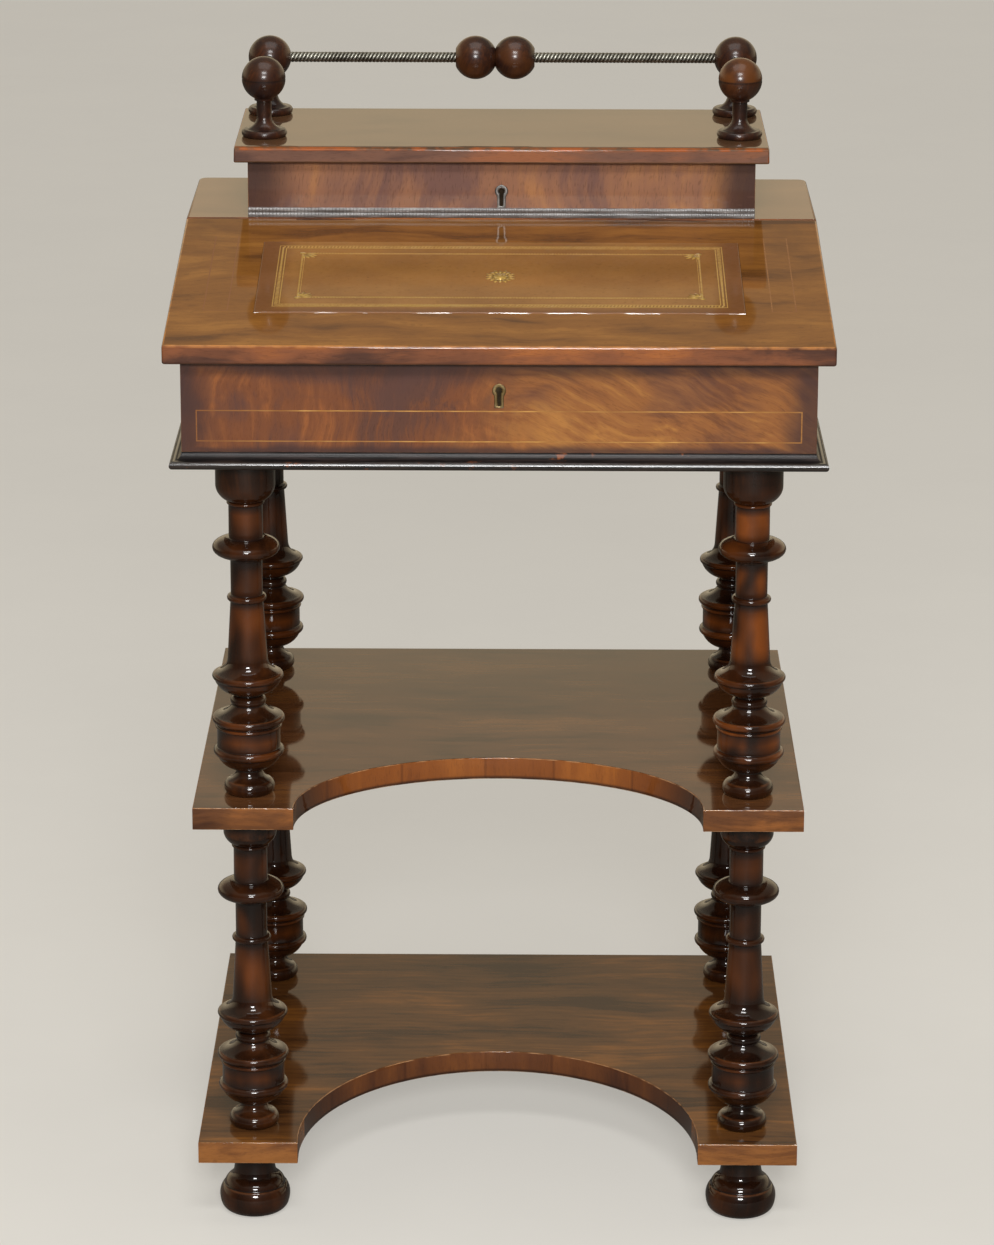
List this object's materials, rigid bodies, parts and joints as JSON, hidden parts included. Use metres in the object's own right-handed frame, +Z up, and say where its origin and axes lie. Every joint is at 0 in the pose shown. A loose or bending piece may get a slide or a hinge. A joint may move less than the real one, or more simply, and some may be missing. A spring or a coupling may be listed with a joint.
{
  "type": "davenport desk",
  "caption": "Davenport writing desk: hinged sloping lid with a leather surface over a case, a lidded stationery box with a rod gallery, on turned legs with cut-out shelves.",
  "frame": {"origin": "on the floor, under the centre of the bounding box", "axes": "+Z up, the front with the keyholes faces -Y, +X to the right seen from the front"},
  "size_m": [0.54, 0.4704, 0.945],
  "materials": {
    "walnut": "French-polished figured walnut",
    "turned_walnut": "polished dark turned walnut",
    "rosewood": "polished dark rosewood turning",
    "ebonised": "ebonised and polished moulding",
    "leather": "tan skiver with gold tooling",
    "boxwood": "boxwood line",
    "brass": "aged brass",
    "steel": "dull steel",
    "rod_metal": "dark patterned metal rod"
  },
  "bodies": {
    "desk": {"back_left_foot": "turned_walnut", "back_left_lower_leg": "turned_walnut", "back_left_upper_leg": "turned_walnut", "back_right_foot": "turned_walnut", "back_right_lower_leg": "turned_walnut", "back_right_upper_leg": "turned_walnut", "base_board": "ebonised", "case_back": "walnut", "case_front": "walnut", "case_left_side": "walnut", "case_right_side": "walnut", "fixed_flat": "walnut", "fixed_hinge_screws": "steel", "front_left_foot": "turned_walnut", "front_left_lower_leg": "turned_walnut", "front_left_upper_leg": "turned_walnut", "front_right_foot": "turned_walnut", "front_right_lower_leg": "turned_walnut", "front_right_upper_leg": "turned_walnut", "front_stringing": "boxwood", "lock_screws": "steel", "lower_shelf": "walnut", "main_escutcheon": "brass", "main_lock_case": "brass", "middle_shelf": "walnut", "stationery_back": "walnut", "stationery_base_reed": "ebonised", "stationery_escutcheon": "steel", "stationery_front": "walnut", "stationery_hinge_fixed_leaves": "brass", "stationery_hinge_pins": "steel", "stationery_left_side": "walnut", "stationery_lock_case": "brass", "stationery_right_side": "walnut", "writing_hinge_fixed_leaves": "brass", "writing_hinge_pins": "steel"},
    "writing_lid_body": {"writing_lid": "walnut", "writing_leather": "leather", "writing_hinge_lid_leaves": "brass", "main_link_plate": "brass", "writing_lid_screws": "steel"},
    "stationery_lid_body": {"back_left_finial": "rosewood", "back_right_finial": "rosewood", "front_left_finial": "rosewood", "front_right_finial": "rosewood", "gallery_back_rod": "rod_metal", "gallery_left_bead": "rosewood", "gallery_left_rod": "rod_metal", "gallery_right_bead": "rosewood", "gallery_right_rod": "rod_metal", "stationery_lid": "walnut", "stationery_hinge_lid_leaves": "brass", "stationery_link_plate": "brass", "stationery_lid_screws": "steel"},
    "main_bolt": {"main_lock_bolt": "steel"},
    "stationery_bolt": {"stationery_lock_bolt": "steel"}
  },
  "joints": [
    {"name": "writing_lid_hinge", "type": "hinge", "parent": "desk", "child": "writing_lid_body", "pos_m": [0, 0.063, 0.80941], "axis": [-1, 0, 0], "range_deg": [0, 84]},
    {"name": "stationery_lid_hinge", "type": "hinge", "parent": "desk", "child": "stationery_lid_body", "pos_m": [0, 0.2312, 0.8624], "axis": [-1, 0, 0], "range_deg": [0, 100]},
    {"name": "main_lock_slide", "type": "slide", "parent": "desk", "child": "main_bolt", "axis": [1, 0, 0], "range_m": [0, 0.005]},
    {"name": "stationery_lock_slide", "type": "slide", "parent": "desk", "child": "stationery_bolt", "axis": [1, 0, 0], "range_m": [0, 0.005]}
  ]
}
